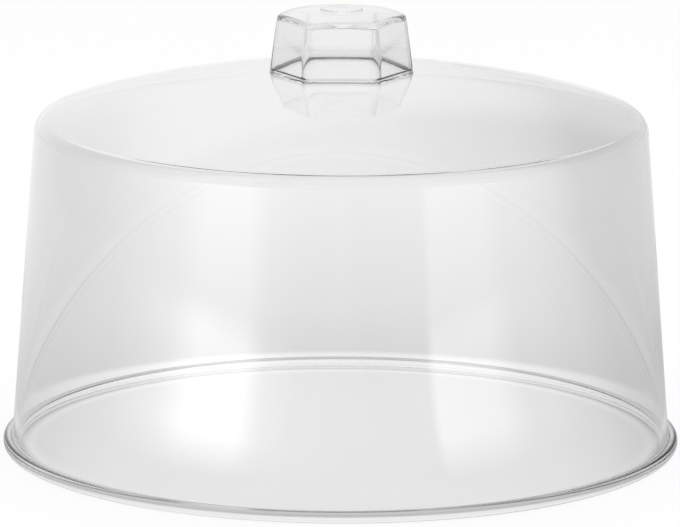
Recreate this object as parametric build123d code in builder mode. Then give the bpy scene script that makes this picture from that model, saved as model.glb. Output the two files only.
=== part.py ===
from build123d import *
import os
from math import cos, radians, sqrt, tan

# A clear moulded cake cover: a bell with a domed top, and a hollow six-sided knob bonded to its crown.
# Millimetres, +Z up. The origin is the centre of the rim's underside, and two of the knob's
# corners lie along X.

# Overall sizes
rim_diameter = 305.0
overall_height = 199.2
knob_height = 28.4  # from the dome's crown to the knob's highest point

# Bell: wall, shoulder and dome
wall_thickness = 2.2
wall_lean = 4.31  # degrees that the wall leans in towards the top
dome_radius = 440.0  # radius of the sphere that the dome's outside follows
shoulder_radius = 7.0  # outside corner between wall and dome

# Rim at the mouth of the bell, a rounded bead
rim_width = 3.85  # how far the rim stands out from the foot of the wall
rim_thickness = 4.8
rim_edge_radius = 2.2
rim_root_radius = 1.0  # hollow corner between wall and rim

# Knob, measured across its corners before they are rounded
knob_sides = 6
knob_foot_corners = 66.1
knob_top_corners = 59.4
knob_corner_radius = 6.0
knob_crown_rise = 2.8  # how far the top bulges above its corners
knob_top_edge_radius = 2.0
knob_disc_diameter = 19.0  # low round disc in the middle of the top
knob_disc_height = 0.4
knob_disc_edge_radius = 0.25

# Cavity of the knob
knob_wall_foot = 2.3  # wall on the flats
knob_wall_top = 1.2
knob_top_thickness = 2.5
cavity_top_edge_radius = 1.0
cavity_foot_radius = 2.2  # hollow corner that widens the bonded foot
cavity_foot_sink = 0.1  # keeps that corner's edge from running out to nothing on the dome

# Places worked out from the sizes
rim_radius = rim_diameter / 2
wall_foot_radius = rim_radius - rim_width
crown_height = overall_height - knob_height
dome_centre_z = crown_height - dome_radius
lean_slope = tan(radians(wall_lean))


def dome_height(distance):
    """Height of the dome's outside at a distance from the axis."""
    return dome_centre_z + sqrt(dome_radius**2 - distance**2)


def shoulder_height():
    """Height where the wall's line meets the dome's circle, before the corner is rounded."""
    a = 1 + lean_slope**2
    b = lean_slope * wall_foot_radius + dome_centre_z
    c = wall_foot_radius**2 + dome_centre_z**2 - dome_radius**2
    return (b + sqrt(b**2 - a * c)) / a


shoulder_z = shoulder_height()
shoulder_corner = (wall_foot_radius - lean_slope * shoulder_z, shoulder_z)

# Bell, one moulding with its rim
with BuildPart() as bell:
    with BuildSketch(Plane.XZ) as half_section:
        with BuildLine():
            Line((0, 0), (wall_foot_radius, 0))
            Line((wall_foot_radius, 0), shoulder_corner)
            RadiusArc(shoulder_corner, (0, crown_height), -dome_radius)
            Line((0, crown_height), (0, 0))
        make_face()
        fillet(half_section.vertices().group_by(Axis.Y)[1], shoulder_radius)
    revolve(axis=Axis.Z)
    mouth = bell.faces().sort_by(Axis.Z)[0]
    offset(amount=-wall_thickness, openings=mouth)
    with BuildSketch(Plane.XZ):
        with Locations((rim_radius, 0)):
            Rectangle(rim_width + wall_thickness / 2, rim_thickness, align=(Align.MAX, Align.MIN))
    revolve(axis=Axis.Z)
    rings = bell.edges().filter_by(GeomType.CIRCLE).filter_by(Plane.XY)
    rim_root = rings.group_by(Axis.Z)[1].sort_by(SortBy.RADIUS)[0]
    fillet(rim_root, rim_root_radius)
    rings = bell.edges().filter_by(GeomType.CIRCLE).filter_by(Plane.XY)
    rim_edges = rings.sort_by(SortBy.RADIUS)[-2:]
    fillet(rim_edges, rim_edge_radius)

bell.part.label = "bell"

# Knob, a hollow cap whose foot is cut to the dome
flat_share = cos(radians(180 / knob_sides))  # distance to a flat, as a share of that to a corner
corner_loss = 1 / flat_share - 1  # what rounding takes off a corner's reach, as a share of its radius
top_crown_z = overall_height - knob_disc_height
top_corner_z = top_crown_z - knob_crown_rise
rounded_top_reach = knob_top_corners / 2 - corner_loss * knob_corner_radius
top_radius = (rounded_top_reach**2 + knob_crown_rise**2) / (2 * knob_crown_rise)
top_centre_z = top_crown_z - top_radius
knob_lean = (knob_foot_corners - knob_top_corners) / 2 / (top_corner_z - crown_height)
wall_lean_in = (knob_wall_foot - knob_wall_top) / (top_corner_z - crown_height)
knob_base_z = dome_height(knob_foot_corners)  # the outside starts here, well inside the dome
# The cavity's corners share their centres with the outside's, so the wall goes evenly round them
cavity_corner_radius = knob_corner_radius - (knob_wall_foot + knob_wall_top) / 2


def outside_corner(z):
    """Distance from the axis to the knob's outside corner at a height."""
    return knob_foot_corners / 2 - knob_lean * (z - crown_height)


def cavity_corner(z):
    """The same for the cavity."""
    wall = knob_wall_foot - wall_lean_in * (z - crown_height)
    return outside_corner(z) - wall / flat_share


rounded_cavity_reach = cavity_corner(crown_height) - corner_loss * cavity_corner_radius
cavity_base_z = dome_height(rounded_cavity_reach) - cavity_foot_sink

# The space inside the knob, taken out of it below
with BuildPart() as cavity:
    for z in (cavity_base_z, top_crown_z):
        with BuildSketch(Plane.XY.offset(z)):
            RegularPolygon(cavity_corner(z), knob_sides)
    loft(ruled=True)
    corner_edges = cavity.edges().filter_by(Plane.XY, reverse=True)
    fillet(corner_edges, cavity_corner_radius)
    with Locations((0, 0, top_centre_z)):
        Sphere(top_radius - knob_top_thickness, rotation=(90, 0, 0), mode=Mode.INTERSECT)
    ceiling_edges = cavity.faces().sort_by(Axis.Z)[-1].edges()
    fillet(ceiling_edges, cavity_top_edge_radius)
    foot_edges = cavity.faces().sort_by(Axis.Z)[0].edges()
    fillet(foot_edges, cavity_foot_radius)

with BuildPart() as knob:
    for z in (knob_base_z, overall_height):
        with BuildSketch(Plane.XY.offset(z)):
            RegularPolygon(outside_corner(z), knob_sides)
    loft(ruled=True)
    corner_edges = knob.edges().filter_by(Plane.XY, reverse=True)
    fillet(corner_edges, knob_corner_radius)
    with Locations((0, 0, top_centre_z)):
        Sphere(top_radius, rotation=(90, 0, 0), mode=Mode.INTERSECT)
    top_edges = knob.faces().sort_by(Axis.Z)[-1].edges()
    fillet(top_edges, knob_top_edge_radius)
    with BuildSketch(Plane.XY.offset(overall_height)):
        Circle(knob_disc_diameter / 2)
    extrude(amount=-(knob_disc_height + knob_top_thickness / 2))
    disc_edge = knob.faces().sort_by(Axis.Z)[-1].edges()
    fillet(disc_edge, knob_disc_edge_radius)
    add(cavity.part, mode=Mode.SUBTRACT)
    with Locations((0, 0, dome_centre_z)):
        Sphere(dome_radius, rotation=(90, 0, 0), mode=Mode.SUBTRACT)

knob.part.label = "knob"

os.makedirs("parts", exist_ok=True)
export_step(bell.part, "parts/bell.step")
export_step(knob.part, "parts/knob.step")
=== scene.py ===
import math

import bmesh
import bpy
from mathutils import Matrix, Vector


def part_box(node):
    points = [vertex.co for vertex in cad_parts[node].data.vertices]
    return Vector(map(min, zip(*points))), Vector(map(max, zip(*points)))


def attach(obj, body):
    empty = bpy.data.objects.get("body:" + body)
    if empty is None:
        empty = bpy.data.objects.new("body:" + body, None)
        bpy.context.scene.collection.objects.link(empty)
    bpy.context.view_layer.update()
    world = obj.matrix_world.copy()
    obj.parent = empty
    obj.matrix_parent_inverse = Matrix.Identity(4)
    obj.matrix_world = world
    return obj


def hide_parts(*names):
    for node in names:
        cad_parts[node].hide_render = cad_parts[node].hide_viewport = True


# Clear moulded cake cover on a pale table. The cover's and the camera's sizes are in millimetres, and
# mm() turns them to metres. The table's and the softboxes' are in metres.

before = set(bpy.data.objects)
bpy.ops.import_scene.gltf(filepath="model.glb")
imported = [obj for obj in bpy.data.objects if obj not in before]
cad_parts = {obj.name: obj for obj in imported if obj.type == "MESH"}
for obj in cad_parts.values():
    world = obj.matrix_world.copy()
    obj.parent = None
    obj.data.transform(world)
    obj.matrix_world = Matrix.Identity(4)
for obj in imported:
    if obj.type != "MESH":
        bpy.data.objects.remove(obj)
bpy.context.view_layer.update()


def mm(value):
    return value / 1000


def inMm(metres):
    return metres * 1000


def sizeOf(metres, digits=4):
    # a size from the frame, without the noise of its last digits
    return round(inMm(metres), digits)


def linear(hexColour):
    # sRGB hex to the linear colour that the shaders take
    parts = [int(hexColour[i:i + 2], 16) / 255 for i in (0, 2, 4)]
    return tuple(c / 12.92 if c <= 0.04045 else ((c + 0.055) / 1.055) ** 2.4 for c in parts) + (1.0,)


def grey(value):
    return (value, value, value, 1.0)


def addNode(tree, kind, settings=None, values=None, links=None):
    # one node, with its settings, its socket values and what feeds its sockets
    node = tree.nodes.new(kind)
    for name, value in (settings or {}).items():
        setattr(node, name, value)
    for name, value in (values or {}).items():
        node.inputs[name].default_value = value
    for name, source in (links or {}).items():
        tree.links.new(source, node.inputs[name])
    return node


def emptyTree(owner):
    owner.use_nodes = True
    owner.node_tree.nodes.clear()
    return owner.node_tree


# Clear styrene, injection moulded in a polished mould: near colourless and glassy, with the faint
# waves that the melt leaves as it cools, so the edges of reflections wander a little
clearPlastic = {
    "ior": 1.57,
    "tint": "FBFBFB",
    "waveLength": 38.0,
    "waveHeight": 0.035,
    "waveDetail": 1.0,
    "hazeLength": 9.0,  # patches that handling has dulled a trace
    "hazeDetail": 3.0,
    "hazeStarts": 0.5,
    "hazeWhole": 0.8,
    "haze": 0.02,
    "lampPass": "F4F4F4",  # what is left of a lamp's light behind one surface
}


def clearStyrene(name, s):
    material = bpy.data.materials.new(name)
    tree = emptyTree(material)
    place = addNode(tree, "ShaderNodeTexCoord").outputs["Object"]
    waves = addNode(tree, "ShaderNodeTexNoise", links={"Vector": place},
                    values={"Scale": 1 / mm(s["waveLength"]), "Detail": s["waveDetail"]})
    bump = addNode(tree, "ShaderNodeBump", links={"Height": waves.outputs["Fac"]},
                   values={"Strength": 1.0, "Distance": mm(s["waveHeight"])})
    handling = addNode(tree, "ShaderNodeTexNoise", links={"Vector": place},
                       values={"Scale": 1 / mm(s["hazeLength"]), "Detail": s["hazeDetail"]})
    haze = addNode(tree, "ShaderNodeMapRange", links={"Value": handling.outputs["Fac"]},
                   values={"From Min": s["hazeStarts"], "From Max": s["hazeWhole"], "To Max": s["haze"]})
    body = addNode(tree, "ShaderNodeBsdfPrincipled", values={
        "Base Color": linear(s["tint"]),
        "Transmission Weight": 1.0,
        "IOR": s["ior"],
    }, links={"Roughness": haze.outputs["Result"], "Normal": bump.outputs["Normal"]})
    lampLight = addNode(tree, "ShaderNodeBsdfTransparent", values={"Color": linear(s["lampPass"])})
    shadowRay = addNode(tree, "ShaderNodeLightPath").outputs["Is Shadow Ray"]
    surface = addNode(tree, "ShaderNodeMixShader",
                      links={0: shadowRay, 1: body.outputs[0], 2: lampLight.outputs[0]})
    addNode(tree, "ShaderNodeOutputMaterial", links={"Surface": surface.outputs[0]})
    return material


def bondedFace(name):
    # solvent-bonded styrene: the two pieces are one clear body here, so nothing shows at the joint
    material = bpy.data.materials.new(name)
    tree = emptyTree(material)
    clear = addNode(tree, "ShaderNodeBsdfTransparent", values={"Color": grey(1.0)})
    addNode(tree, "ShaderNodeOutputMaterial", links={"Surface": clear.outputs[0]})
    return material


bellPlastic = clearStyrene("clearStyreneBell", clearPlastic)
knobPlastic = clearStyrene("clearStyreneKnob", clearPlastic)
bond = bondedFace("bondedStyrene")
print("plastics made")

# Bell: one moulding, a leaning wall under a shallow dome, with a round bead at the mouth
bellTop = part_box("bell")[1]
bellSizes = {
    "rimRadius": sizeOf(bellTop.x),
    "crownHeight": sizeOf(bellTop.z),
    "rimWidth": 3.85,
    "rimThickness": 4.8,
    "rimEdge": 2.2,
    "rimRoot": 1.0,
    "wall": 2.2,
    "lean": 4.31,
    "domeRadius": 440.0,
    "shoulder": 7.0,
    "turns": 360,
    "wallSteps": 24,
    "shoulderSteps": 24,
    "domeStep": 2.0,
    "beadSteps": 12,
    "rootSteps": 10,
    "rootGap": 0.5,  # the wall's first point lies at least this far above the rim's hollow corner
    "railRadius": 100.0,  # circle that the lathe sweeps along, of any size
    "mergeDistance": 0.001,
}


def arcPoints(centre, radius, startAngle, endAngle, count):
    # points on a circle in a section, angles in degrees from +r towards +z
    points = []
    for i in range(count + 1):
        angle = math.radians(startAngle + (endAngle - startAngle) * i / count)
        points.append((centre[0] + radius * math.cos(angle), centre[1] + radius * math.sin(angle)))
    return points


def domeHeight(s, r):
    return s["crownHeight"] - s["domeRadius"] + math.sqrt(s["domeRadius"] ** 2 - r ** 2)


def skinProfile(inset, s, domeStops=()):
    # wall, shoulder and dome of one skin, inset from the outside: points (r, z) from foot to crown
    slope = math.tan(math.radians(s["lean"]))
    across = math.cos(math.radians(s["lean"]))
    foot = s["rimRadius"] - s["rimWidth"] - inset / across
    radius = s["domeRadius"] - inset
    centreZ = s["crownHeight"] - s["domeRadius"]
    corner = s["shoulder"] - inset
    # the shoulder's centre lies corner in from the wall's line, and radius - corner from the dome's centre
    line = foot - corner / across
    a = 1 + slope ** 2
    b = slope * line + centreZ
    c = line ** 2 + centreZ ** 2 - (radius - corner) ** 2
    height = (b + math.sqrt(b ** 2 - a * c)) / a
    centre = (line - slope * height, height)
    domeAngle = math.degrees(math.atan2(centre[1] - centreZ, centre[0]))
    shoulder = arcPoints(centre, corner, s["lean"], domeAngle, s["shoulderSteps"])
    heights = [shoulder[0][1] * t / s["wallSteps"] for t in range(s["wallSteps"])]
    wall = [(foot - slope * z, z) for z in heights]
    stops = [shoulder[-1][0]] + sorted(domeStops, reverse=True) + [0.0]
    dome = []
    for outer, inner in zip(stops, stops[1:]):
        count = max(2, round((outer - inner) / s["domeStep"]))
        angles = [math.degrees(math.acos(r / radius)) for r in (outer, inner)]
        dome += arcPoints((0, centreZ), radius, angles[0], angles[1], count)[1:]
    return wall + shoulder + dome


def bellProfile(s, domeStops):
    outer = skinProfile(0, s, domeStops)
    inner = skinProfile(s["wall"], s)
    edge = s["rimEdge"]
    edgeAt = s["rimRadius"] - edge
    bead = arcPoints((edgeAt, edge), edge, -90, 0, s["beadSteps"])
    bead += arcPoints((edgeAt, s["rimThickness"] - edge), edge, 0, 90, s["beadSteps"])
    root, lean = s["rimRoot"], math.radians(s["lean"])
    rootZ = s["rimThickness"] + root
    wallAt = s["rimRadius"] - s["rimWidth"] - math.tan(lean) * rootZ
    rootAt = wallAt + root / math.cos(lean)
    hollow = arcPoints((rootAt, rootZ), root, -90, s["lean"] - 180, s["rootSteps"])
    skin = [(r, z) for r, z in outer if z > hollow[-1][1] + s["rootGap"]]
    return inner[::-1] + bead + hollow + skin


def makeProfileCurve(name, points):
    data = bpy.data.curves.new(name, "CURVE")
    data.dimensions = "3D"
    spline = data.splines.new("POLY")
    spline.points.add(len(points) - 1)
    for point, (r, z) in zip(spline.points, points):
        point.co = (mm(r), -mm(z), 0, 1)
    return bpy.data.objects.new(name, data)


def latheTree(material):
    # turns a flat profile about the axis: X is the distance from the axis, Y the depth below the table
    tree = bpy.data.node_groups.new("latheTree", "GeometryNodeTree")
    sockets = {"Profile": "Geometry", "Turns": "Int", "Rail radius": "Float", "Merge distance": "Float"}
    for name, kind in sockets.items():
        tree.interface.new_socket(name, in_out="INPUT", socket_type="NodeSocket" + kind)
    tree.interface.new_socket("Bell", in_out="OUTPUT", socket_type="NodeSocketGeometry")
    inputs = addNode(tree, "NodeGroupInput").outputs
    rail = addNode(tree, "GeometryNodeCurvePrimitiveCircle",
                   links={"Resolution": inputs["Turns"], "Radius": inputs["Rail radius"]})
    back = addNode(tree, "ShaderNodeMath", {"operation": "MULTIPLY"}, {1: -1.0},
                   {0: inputs["Rail radius"]})
    offset = addNode(tree, "ShaderNodeCombineXYZ", links={"X": back.outputs[0]})
    shifted = addNode(tree, "GeometryNodeSetPosition",
                      links={"Geometry": inputs["Profile"], "Offset": offset.outputs[0]})
    swept = addNode(tree, "GeometryNodeCurveToMesh",
                    links={"Curve": rail.outputs["Curve"], "Profile Curve": shifted.outputs["Geometry"]})
    closed = addNode(tree, "GeometryNodeMergeByDistance",
                     links={"Geometry": swept.outputs["Mesh"], "Distance": inputs["Merge distance"]})
    real = addNode(tree, "GeometryNodeRealizeInstances", links={"Geometry": closed.outputs["Geometry"]})
    finish = addNode(tree, "GeometryNodeSetMaterial", values={"Material": material},
                     links={"Geometry": real.outputs["Geometry"]})
    addNode(tree, "NodeGroupOutput", links={0: finish.outputs["Geometry"]})
    return tree


def setInputs(modifier, tree, values):
    # a modifier's inputs go by the sockets' identifiers
    for item in tree.interface.items_tree:
        if item.in_out == "INPUT" and item.name in values:
            modifier[item.identifier] = values[item.name]


def bakeDown(source, name):
    # the evaluated result as a plain mesh object at the origin
    scene = bpy.context.scene
    scene.collection.objects.link(source)
    bpy.context.view_layer.update()
    evaluated = source.evaluated_get(bpy.context.evaluated_depsgraph_get())
    mesh = bpy.data.meshes.new_from_object(evaluated)
    source.modifiers.clear()
    bpy.data.objects.remove(source)
    mesh.name = name
    piece = bpy.data.objects.new(name, mesh)
    scene.collection.objects.link(piece)
    return piece


def makeBell(s, domeStops):
    profile = makeProfileCurve("bellProfile", bellProfile(s, domeStops))
    tree = latheTree(bellPlastic)
    modifier = profile.modifiers.new("lathe", "NODES")
    modifier.node_group = tree
    setInputs(modifier, tree, {
        "Turns": s["turns"],
        "Rail radius": mm(s["railRadius"]),
        "Merge distance": mm(s["mergeDistance"]),
    })
    return bakeDown(profile, "bell_shell")


def finishMesh(piece, sharpAngle=32, weld=1e-7):
    # closed and turned outwards, smooth except across real edges
    bm = bmesh.new()
    bm.from_mesh(piece.data)
    bmesh.ops.remove_doubles(bm, verts=bm.verts, dist=weld)
    bmesh.ops.recalc_face_normals(bm, faces=bm.faces)
    for face in bm.faces:
        face.smooth = True
    openEdges = sum(not edge.is_manifold for edge in bm.edges)
    bm.to_mesh(piece.data)
    bm.free()
    piece.data.set_sharp_from_angle(angle=math.radians(sharpAngle))
    print(piece.name, "has", len(piece.data.polygons), "faces and", openEdges, "open edges")


# Knob: a hollow hexagon whose wall thins towards a crowned top with a low disc, its foot cut to the dome
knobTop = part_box("knob")[1]
knobSizes = {
    "height": sizeOf(knobTop.z),  # of the whole cover, to the top of the knob's disc
    "sides": 6,
    "footCorners": 66.1,
    "topCorners": 59.4,
    "cornerRadius": 6.0,
    "crownRise": 2.8,
    "topEdge": 2.0,
    "topThickness": 2.5,
    "wallFoot": 2.3,
    "wallTop": 1.2,
    "ceilingEdge": 1.0,
    "footFillet": 2.2,
    "footSink": 0.1,
    "footDrop": 1.0,  # about how far the dome falls from its crown to the knob's foot
    "cavityWallStarts": 1.0,  # above the crown
    "discRadius": 9.5,
    "discHeight": 0.4,
    "discEdge": 0.25,
    "discMeets": 0.1,  # how close the crowned top's last ring and the disc's first come to their corner
    "discEdgeStarts": 22,  # degrees
    "discEdgeSteps": 3,
    "wallSteps": 6,
    "edgeSteps": 8,
    "topSteps": 8,
    "footSteps": 4,
}
knobSizes["cornerTop"] = knobSizes["height"] - knobSizes["discHeight"] - knobSizes["crownRise"]
# the cavity's corners share their centres with the outside's
knobSizes["cavityCorner"] = knobSizes["cornerRadius"] - (knobSizes["wallFoot"] + knobSizes["wallTop"]) / 2


def hexagonReach(angle, corner, rounding, sides):
    # distance from the axis to a rounded hexagon's outline, corner being that to its sharp corner
    half = math.pi / sides
    turn = abs((angle + half) % (2 * half) - half)  # from the nearest corner
    middle = corner - rounding / math.cos(half)  # centre of the corner's arc
    straight = corner * math.cos(half) / math.cos(half - turn)
    onArc = math.atan2(straight * math.sin(turn), straight * math.cos(turn) - middle) < half
    if not onArc:
        return straight
    beside = middle * math.sin(turn)
    return middle * math.cos(turn) + math.sqrt(max(rounding ** 2 - beside ** 2, 0.0))


def outsideReach(angle, z, inset=0.0, cavity=False):
    # the knob's outside at a height, set in square to its wall by inset, or the space inside it
    s, crown = knobSizes, bellSizes["crownHeight"]
    flat = math.cos(math.pi / s["sides"])
    share = (z - crown) / (s["cornerTop"] - crown)
    corner = (s["footCorners"] + (s["topCorners"] - s["footCorners"]) * share) / 2
    wall = s["wallFoot"] + (s["wallTop"] - s["wallFoot"]) * share if cavity else 0.0
    rounding = s["cavityCorner"] if cavity else s["cornerRadius"]
    return hexagonReach(angle, corner - (wall + inset) / flat, rounding - inset, s["sides"])


def cavityReach(angle, z, inset=0.0):
    return outsideReach(angle, z, inset, cavity=True)


def footOutline(angle):
    return outsideReach(angle, bellSizes["crownHeight"] - knobSizes["footDrop"])


def filletPoint(angle, turn):
    # point on the hollow corner at the cavity's foot, turn in radians down from the wall
    s, crown = knobSizes, bellSizes["crownHeight"]
    seat = domeHeight(bellSizes, cavityReach(0.0, crown)) - s["footSink"]
    middle = seat + s["footFillet"]
    z = middle - s["footFillet"] * math.sin(turn)
    return cavityReach(angle, middle, s["footFillet"] * (1 - math.cos(turn))), z


def contactTurn(angle, halvings=24):
    # how far the hollow corner turns before it meets the dome
    low, high = 0.0, math.pi / 2
    for _ in range(halvings):
        turn = (low + high) / 2
        r, z = filletPoint(angle, turn)
        if z > domeHeight(bellSizes, r):
            low = turn
        else:
            high = turn
    return low


def footInline(angle):
    return filletPoint(angle, contactTurn(angle))[0]


# The dome's rings at the second and third of these distances are moved onto the knob's foot
bondStops = (20.0, 24.6, 28.5, 34.0)


def layBond(piece, s, stops, tolerance=0.02):
    # slides the dome's outer rings so that two of them run along the foot's inner and outer outlines,
    # and gives the faces between those two the bonded finish
    bm = bmesh.new()
    bm.from_mesh(piece.data)
    reach = {}
    for v in bm.verts:
        r = inMm(v.co.xy.length)
        if r < stops[3] and abs(inMm(v.co.z) - domeHeight(s, r)) < tolerance:
            reach[v.index] = r
    for face in bm.faces:
        radii = [reach.get(v.index, 0.0) for v in face.verts]
        if min(radii) > stops[1] - tolerance and max(radii) < stops[2] + tolerance:
            face.material_index = 1
    for v in bm.verts:
        r = reach.get(v.index, 0.0)
        if r <= stops[0]:
            continue
        angle = math.atan2(v.co.y, v.co.x)
        places = (stops[0], footInline(angle), footOutline(angle), stops[3])
        for i in range(3):
            if stops[i] - tolerance <= r <= stops[i + 1] + tolerance:
                share = (r - stops[i]) / (stops[i + 1] - stops[i])
                moved = places[i] + share * (places[i + 1] - places[i])
        v.co = (mm(moved) * math.cos(angle), mm(moved) * math.sin(angle), mm(domeHeight(s, moved)))
    bonded = sum(face.material_index for face in bm.faces)
    bm.to_mesh(piece.data)
    bm.free()
    piece.data.materials.append(bond)
    print("bond laid on", bonded, "faces of the dome")


bell = makeBell(bellSizes, bondStops)
finishMesh(bell)
layBond(bell, bellSizes, bondStops)
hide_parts("bell")
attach(bell, "root")
print("bell made")


def level(reach, z):
    # a ring at one height
    return lambda angle: (reach(angle, z), z)


def knobRings(s, b):
    # rings as functions of the angle that give (r, z): up the outside and over the top, and, as a
    # second list, from the cavity's foot up to its ceiling
    crown = b["crownHeight"]
    topCrown = s["cornerTop"] + s["crownRise"]
    topReach = outsideReach(0.0, s["cornerTop"])
    topRadius = (topReach ** 2 + s["crownRise"] ** 2) / (2 * s["crownRise"])

    def crowned(r, inset=0.0):
        return topCrown - topRadius + math.sqrt((topRadius - inset) ** 2 - r ** 2)

    def rounded(reach, edge, inset, turn, rounds=4):
        # ring on the rounding between a wall and the crowned surface, turn in radians up from the wall
        def point(angle):
            z = s["cornerTop"] - inset
            for _ in range(rounds):
                z = crowned(reach(angle, z, edge), inset + edge)
            return reach(angle, z, edge * (1 - math.cos(turn))), z + edge * math.sin(turn)
        return point

    def inwards(start, endRadius, share, inset=0.0):
        # ring on the crowned surface, part of the way from a ring to a circle
        def point(angle):
            r = start(angle)[0] * (1 - share) + endRadius * share
            return r, crowned(r, inset)
        return point

    def shares(steps):
        return [t / steps for t in range(steps + 1)]

    fullTurn = math.pi / 2 - math.asin(topReach / topRadius)
    turns = [fullTurn * share for share in shares(s["edgeSteps"])]

    outside = [lambda angle: (footOutline(angle), domeHeight(b, footOutline(angle)))]
    wallTop = s["cornerTop"] - s["topEdge"]
    outside += [level(outsideReach, crown + (wallTop - crown) * t) for t in shares(s["wallSteps"])[:-1]]
    outside += [rounded(outsideReach, s["topEdge"], 0.0, turn) for turn in turns]
    disc, edge, meets = s["discRadius"], s["discEdge"], s["discMeets"]
    outside += [inwards(outside[-1], disc + meets, t) for t in shares(s["topSteps"])[1:]]
    discTop = topCrown + s["discHeight"]
    steps = [(disc, crowned(disc) + meets), (disc, discTop - edge)]
    steps += arcPoints((disc - edge, discTop - edge), edge, s["discEdgeStarts"], 90, s["discEdgeSteps"])
    steps += [(disc / 2, discTop)]
    outside += [lambda angle, step=step: step for step in steps]

    def filleted(share):
        return lambda angle: filletPoint(angle, contactTurn(angle) * (1 - share))

    inside = [filleted(share) for share in shares(s["edgeSteps"])]
    low = crown + s["cavityWallStarts"]
    high = s["cornerTop"] - s["topThickness"] - s["ceilingEdge"]
    inside += [level(cavityReach, low + (high - low) * t) for t in shares(s["wallSteps"])[:-1]]
    inside += [rounded(cavityReach, s["ceilingEdge"], s["topThickness"], turn) for turn in turns]
    inside += [inwards(inside[-1], 0.0, t, s["topThickness"]) for t in shares(s["topSteps"])[1:-1]]
    return outside, inside, discTop, crowned(0, s["topThickness"])


def makeKnob(s, b):
    outside, inside, discTop, ceiling = knobRings(s, b)
    count = b["turns"]
    angles = [2 * math.pi * i / count for i in range(count)]
    bm = bmesh.new()

    def addRing(ring):
        verts = []
        for angle in angles:
            r, z = ring(angle)
            verts.append(bm.verts.new((mm(r) * math.cos(angle), mm(r) * math.sin(angle), mm(z))))
        return verts

    def bridge(lower, upper, slot):
        for i in range(count):
            j = (i + 1) % count
            bm.faces.new((lower[i], lower[j], upper[j], upper[i])).material_index = slot

    def cap(ring, z):
        middle = bm.verts.new((0, 0, mm(z)))
        for i in range(count):
            bm.faces.new((ring[i], ring[(i + 1) % count], middle))

    def footRing(share):
        def point(angle):
            r = footOutline(angle) * (1 - share) + footInline(angle) * share
            return r, domeHeight(b, r)
        return point

    outer = [addRing(ring) for ring in outside]
    inner = [addRing(ring) for ring in inside]
    between = [addRing(footRing(t / s["footSteps"])) for t in range(1, s["footSteps"])]
    foot = [outer[0]] + between + [inner[0]]
    for chain, slot in ((outer, 0), (inner, 0), (foot, 1)):
        for lower, upper in zip(chain, chain[1:]):
            bridge(lower, upper, slot)
    cap(outer[-1], discTop)
    cap(inner[-1], ceiling)
    mesh = bpy.data.meshes.new("knob_cap")
    bm.to_mesh(mesh)
    bm.free()
    mesh.materials.append(knobPlastic)
    mesh.materials.append(bond)
    piece = bpy.data.objects.new("knob_cap", mesh)
    bpy.context.scene.collection.objects.link(piece)
    return piece


knob = makeKnob(knobSizes, bellSizes)
finishMesh(knob)
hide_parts("knob")
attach(knob, "root")
print("knob made")


def rampOf(tree, source, stops, low, high):
    # a grey ramp over what source gives between low and high
    share = addNode(tree, "ShaderNodeMapRange", values={"From Min": low, "From Max": high},
                    links={"Value": source})
    ramp = addNode(tree, "ShaderNodeValToRGB", links={"Fac": share.outputs["Result"]})
    elements = ramp.color_ramp.elements
    while len(elements) < len(stops):
        elements.new(0.5)
    for element, (at, value) in zip(elements, stops):
        element.position = (at - low) / (high - low)
        element.color = grey(value)
    return ramp.outputs["Color"]


def bearingOf(tree, parts):
    # degrees from straight behind the cover, right of it positive
    angle = addNode(tree, "ShaderNodeMath", {"operation": "ARCTAN2"},
                    links={0: parts["X"], 1: parts["Y"]})
    degrees = addNode(tree, "ShaderNodeMath", {"operation": "DEGREES"}, links={0: angle.outputs[0]})
    return degrees.outputs[0]


# Table, white to the eye. Each pair is a place and its light: metres from the middle or to the right,
# or degrees from straight behind, right positive
tableSizes = {
    "half": 6.0,
    "below": 0.0002,  # clear of the rim, so the two faces don't fight
    "colour": "F4F4F4",
    "glow": 0.85,
    # what the plastic bends, by distance: a line of shade under the rim between two bright ones
    "near": (
        (0.0, 0.9), (0.1375, 0.9), (0.1395, 1.0), (0.1425, 1.0), (0.1439, 0.5), (0.1465, 0.5),
        (0.148, 0.68), (0.1525, 0.68), (0.156, 1.0), (0.172, 1.0), (0.182, 0.73), (0.22, 0.76),
        (0.28, 0.82), (0.6, 1.0),
    ),
    "shadeNearer": 0.0025,  # the line of shade's centre, towards the camera
    # the same from left to right
    "across": (
        (-0.16, 0.8), (-0.14, 0.84), (-0.12, 0.93), (-0.10, 0.98), (-0.06, 1.0), (0.03, 1.0),
        (0.07, 0.985), (0.10, 0.95), (0.12, 0.88), (0.14, 0.73), (0.16, 0.7),
    ),
    # what it mirrors, by bearing: bright towards the backdrop
    "mirrored": (
        (-180, 0.06), (-100, 0.1), (-60, 0.5), (-25, 0.9), (0, 1.0), (20, 0.8), (50, 0.3),
        (90, 0.1), (180, 0.06),
    ),
    # close to the middle it mirrors an even light, which goes over to that between these distances
    "evenLight": 0.7,
    "evenEnds": 0.12,
    "bearingWhole": 0.32,
    # and the two softboxes' pools of light, by bearing and by distance
    "poolRound": (
        (-180, 0.0), (-165, 0.1), (-155, 0.35), (-148, 1.0), (-132, 1.0), (-121, 0.4), (-110, 0.12),
        (-98, 0.0), (100, 0.0), (120, 0.12), (130, 0.5), (149, 0.6), (152, 0.05), (165, 0.0),
        (180, 0.0),
    ),
    "poolReach": ((0.3, 0.0), (0.5, 1.0), (1.05, 1.0), (1.3, 0.45), (6.0, 0.45)),
    "poolGain": 5.5,
}


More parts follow.
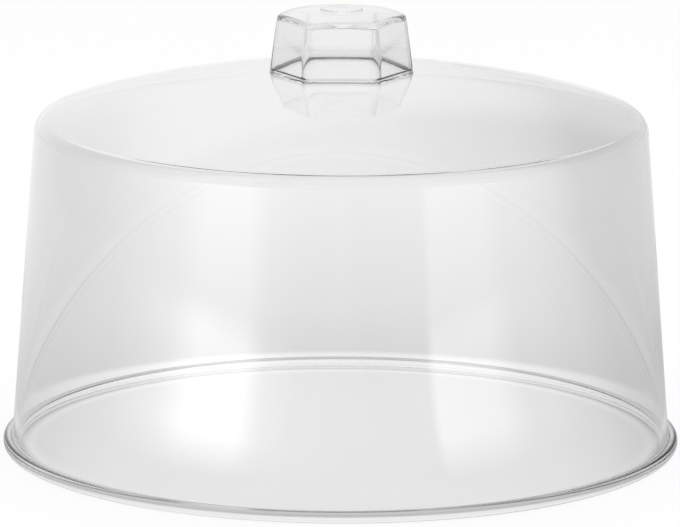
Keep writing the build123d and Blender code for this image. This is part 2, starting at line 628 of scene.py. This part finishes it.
def tableBent(tree, place, parts, s):
    # the light that the plastic bends
    moved = addNode(tree, "ShaderNodeVectorMath", values={1: (0, -s["shadeNearer"], 0)},
                    links={0: place})
    away = addNode(tree, "ShaderNodeVectorMath", {"operation": "LENGTH"}, links={0: moved.outputs[0]})
    near = rampOf(tree, away.outputs["Value"], s["near"], 0.0, s["near"][-1][0])
    across = rampOf(tree, parts["X"], s["across"], s["across"][0][0], s["across"][-1][0])
    both = addNode(tree, "ShaderNodeMath", {"operation": "MULTIPLY"}, links={0: near, 1: across})
    return both.outputs[0]


def tableMirrored(tree, place, parts, s):
    # the light that the plastic mirrors
    away = addNode(tree, "ShaderNodeVectorMath", {"operation": "LENGTH"},
                   links={0: place}).outputs["Value"]
    bearing = bearingOf(tree, parts)
    around = rampOf(tree, bearing, s["mirrored"], -180, 180)
    whole = addNode(tree, "ShaderNodeMapRange", links={"Value": away},
                    values={"From Min": s["evenEnds"], "From Max": s["bearingWhole"]})
    plain = addNode(tree, "ShaderNodeMix", {"data_type": "FLOAT"}, {2: s["evenLight"]},
                    {0: whole.outputs["Result"], 3: around})
    poolRound = rampOf(tree, bearing, s["poolRound"], -180, 180)
    poolReach = rampOf(tree, away, s["poolReach"], 0.0, s["poolReach"][-1][0])
    pools = addNode(tree, "ShaderNodeMath", {"operation": "MULTIPLY"}, links={0: poolRound, 1: poolReach})
    both = addNode(tree, "ShaderNodeMath", {"operation": "MULTIPLY_ADD"}, {1: s["poolGain"]},
                   {0: pools.outputs[0], 2: plain.outputs[0]})
    return both.outputs[0]


def whiteTable(s):
    # matt white board that glows for the camera and the plastic, and takes shadows
    material = bpy.data.materials.new("whiteTable")
    tree = emptyTree(material)
    paint = addNode(tree, "ShaderNodeBsdfDiffuse", values={"Color": linear(s["colour"])})
    place = addNode(tree, "ShaderNodeTexCoord").outputs["Object"]
    parts = addNode(tree, "ShaderNodeSeparateXYZ", links={0: place}).outputs
    seen = addNode(tree, "ShaderNodeEmission", values={"Color": grey(1.0)})
    bent = addNode(tree, "ShaderNodeEmission", links={"Color": tableBent(tree, place, parts, s)})
    mirrored = addNode(tree, "ShaderNodeEmission", values={"Color": grey(1.0)},
                       links={"Strength": tableMirrored(tree, place, parts, s)})
    path = addNode(tree, "ShaderNodeLightPath").outputs
    # a ray that the plastic bends counts as glossy too, so the bent light is mixed in last
    for ray, shader in (("Is Glossy Ray", mirrored), ("Is Transmission Ray", bent)):
        seen = addNode(tree, "ShaderNodeMixShader",
                       links={0: path[ray], 1: seen.outputs[0], 2: shader.outputs[0]})
    glowing = path["Is Camera Ray"]
    for ray in ("Is Glossy Ray", "Is Transmission Ray"):
        either = addNode(tree, "ShaderNodeMath", {"operation": "MAXIMUM"}, links={0: glowing, 1: path[ray]})
        glowing = either.outputs[0]
    share = addNode(tree, "ShaderNodeMath", {"operation": "MULTIPLY"}, {1: s["glow"]}, {0: glowing})
    surface = addNode(tree, "ShaderNodeMixShader",
                      links={0: share.outputs[0], 1: paint.outputs[0], 2: seen.outputs[0]})
    addNode(tree, "ShaderNodeOutputMaterial", links={"Surface": surface.outputs[0]})
    return material


def makeTable(s):
    half = s["half"]
    corners = [(-half, -half, 0), (half, -half, 0), (half, half, 0), (-half, half, 0)]
    mesh = bpy.data.meshes.new("table_top")
    mesh.from_pydata(corners, [], [(0, 1, 2, 3)])
    mesh.materials.append(whiteTable(s))
    table = bpy.data.objects.new("table_top", mesh)
    table.location.z = -s["below"]
    bpy.context.scene.collection.objects.link(table)


makeTable(tableSizes)
print("table made")

# World, white to the eye. Each pair is an angle and its light: degrees from straight behind, right
# positive, or degrees above the table
worldSizes = {
    # what the plastic bends, low down
    "bentRound": (
        (-180, 0.85), (-100, 0.75), (-60, 0.9), (0, 1.0), (60, 0.85), (100, 0.7), (180, 0.85),
    ),
    # heights between which that goes over to the mirrored studio, and how far it goes
    "bentLow": 14,
    "bentHigh": 30,
    "bentStudio": 0.8,
    # what it mirrors: a white backdrop behind, and two softboxes in a dark studio
    "mirroredRound": (
        (-180, 0.03), (-148, 0.03), (-143, 0.6), (-120, 0.6), (-113, 0.05), (-85, 0.08), (-50, 0.3),
        (-25, 0.75), (-8, 0.9), (2, 0.8), (10, 0.5), (25, 0.4), (55, 0.2), (85, 0.08), (115, 0.05),
        (125, 0.3), (149, 0.65), (151, 0.05), (180, 0.03),
    ),
    "mirroredHigh": ((0, 1.0), (27, 1.0), (35, 0.7), (60, 0.4), (90, 0.3)),
    "mirroredTilt": 60.0,  # the backdrop's upper edge falls to the right, in degrees for each unit of X
    "fill": 0.75,  # what lights the table
}


def makeWorld(s):
    world = bpy.data.worlds.new("studio")
    bpy.context.scene.world = world
    tree = emptyTree(world)
    direction = addNode(tree, "ShaderNodeTexCoord").outputs["Generated"]
    parts = addNode(tree, "ShaderNodeSeparateXYZ", links={0: direction}).outputs
    rise = addNode(tree, "ShaderNodeMath", {"operation": "ARCSINE"}, links={0: parts["Z"]})
    height = addNode(tree, "ShaderNodeMath", {"operation": "DEGREES"},
                     links={0: rise.outputs[0]}).outputs[0]
    bearing = bearingOf(tree, parts)
    tilted = addNode(tree, "ShaderNodeMath", {"operation": "MULTIPLY_ADD"}, {1: s["mirroredTilt"]},
                     {0: parts["X"], 2: height})
    highLight = rampOf(tree, tilted.outputs[0], s["mirroredHigh"], 0, 90)
    roundLight = rampOf(tree, bearing, s["mirroredRound"], -180, 180)
    studio = addNode(tree, "ShaderNodeMath", {"operation": "MULTIPLY"},
                     links={0: highLight, 1: roundLight}).outputs[0]
    over = addNode(tree, "ShaderNodeMapRange", links={"Value": height},
                   values={"From Min": s["bentLow"], "From Max": s["bentHigh"], "To Max": s["bentStudio"]})
    bentRound = rampOf(tree, bearing, s["bentRound"], -180, 180)
    bentLight = addNode(tree, "ShaderNodeMix", {"data_type": "FLOAT"},
                        links={0: over.outputs["Result"], 2: bentRound, 3: studio}).outputs[0]
    bent = addNode(tree, "ShaderNodeBackground", links={"Color": bentLight})
    mirrored = addNode(tree, "ShaderNodeBackground", links={"Color": studio})
    white = addNode(tree, "ShaderNodeBackground", values={"Color": grey(1.0)})
    shader = addNode(tree, "ShaderNodeBackground", values={"Color": grey(s["fill"])})
    path = addNode(tree, "ShaderNodeLightPath").outputs
    rays = (("Is Glossy Ray", mirrored), ("Is Transmission Ray", bent), ("Is Camera Ray", white))
    for ray, seen in rays:
        shader = addNode(tree, "ShaderNodeMixShader",
                         links={0: path[ray], 1: shader.outputs[0], 2: seen.outputs[0]})
    addNode(tree, "ShaderNodeOutputWorld", links={"Surface": shader.outputs[0]})


makeWorld(worldSizes)
print("world made")

# Camera, as fitted to the photograph's rim and shoulder ellipses
cameraSizes = {
    "aimHeight": 90.0,
    "distance": 3000.0,
    "elevation": 12.0,
    "roll": 0.16,
    "focalPixels": 6662.0,
    "imageWidth": 680,
    "imageHeight": 527,
    "centreX": 341.0,
    "centreY": 246.5,
    "sensorWidth": 36,
    "nearest": 100.0,
    "furthest": 50000.0,
}


def makeCamera(s):
    data = bpy.data.cameras.new("camera")
    camera = bpy.data.objects.new("camera", data)
    bpy.context.scene.collection.objects.link(camera)
    e = math.radians(s["elevation"])
    back = Vector((0, -math.cos(e), math.sin(e)))
    camera.location = Vector((0, 0, mm(s["aimHeight"]))) + back * mm(s["distance"])
    camera.rotation_mode = "QUATERNION"
    look = (-back).to_track_quat("-Z", "Y")
    roll = Matrix.Rotation(math.radians(s["roll"]), 4, "Z").to_quaternion()
    camera.rotation_quaternion = look @ roll
    data.sensor_width = s["sensorWidth"]
    data.lens = s["focalPixels"] / s["imageWidth"] * s["sensorWidth"]
    data.shift_x = (s["imageWidth"] / 2 - s["centreX"]) / s["imageWidth"]
    data.shift_y = (s["centreY"] - s["imageHeight"] / 2) / s["imageWidth"]
    data.clip_start, data.clip_end = mm(s["nearest"]), mm(s["furthest"])
    bpy.context.scene.camera = camera


makeCamera(cameraSizes)

# Softboxes: two upright ones that stand on the table either side of the camera, and one overhead.
# Azimuths are from straight in front, right positive
standingSoftboxes = [
    {"name": "left_softbox", "azimuth": -48, "away": 1.1, "size": (0.5, 0.9), "watts": 2.5},
    {"name": "right_softbox", "azimuth": 42, "away": 1.2, "size": (0.6, 0.9), "watts": 2.5},
]
topSoftbox = {"name": "top_softbox", "place": (0.0, 0.3, 1.9), "size": (1.4, 1.4), "watts": 14}


def addSoftbox(s, place, towards):
    data = bpy.data.lights.new(s["name"], "AREA")
    data.shape = "RECTANGLE"
    data.size, data.size_y = s["size"]
    data.energy = s["watts"]
    lamp = bpy.data.objects.new(s["name"], data)
    lamp.location = place
    lamp.rotation_mode = "QUATERNION"
    lamp.rotation_quaternion = (Vector(towards) - Vector(place)).to_track_quat("-Z", "Y")
    lamp.visible_glossy = False  # the table's pools and the world stand for them in the plastic
    lamp.visible_transmission = False
    bpy.context.scene.collection.objects.link(lamp)


for s in standingSoftboxes:
    azimuth = math.radians(s["azimuth"])
    height = s["size"][1] / 2
    place = (s["away"] * math.sin(azimuth), -s["away"] * math.cos(azimuth), height)
    addSoftbox(s, place, (0, 0, height))
addSoftbox(topSoftbox, topSoftbox["place"], (0, 0, 0))

# Light that a clear wall guides along itself turns many times before it leaves
bounces = {"all": 48, "mirrored": 40, "bent": 48}
cycles = bpy.context.scene.cycles
cycles.max_bounces = bounces["all"]
cycles.glossy_bounces = bounces["mirrored"]
cycles.transmission_bounces = bounces["bent"]

bpy.context.scene.view_settings.view_transform = "Standard"
print("stage set")
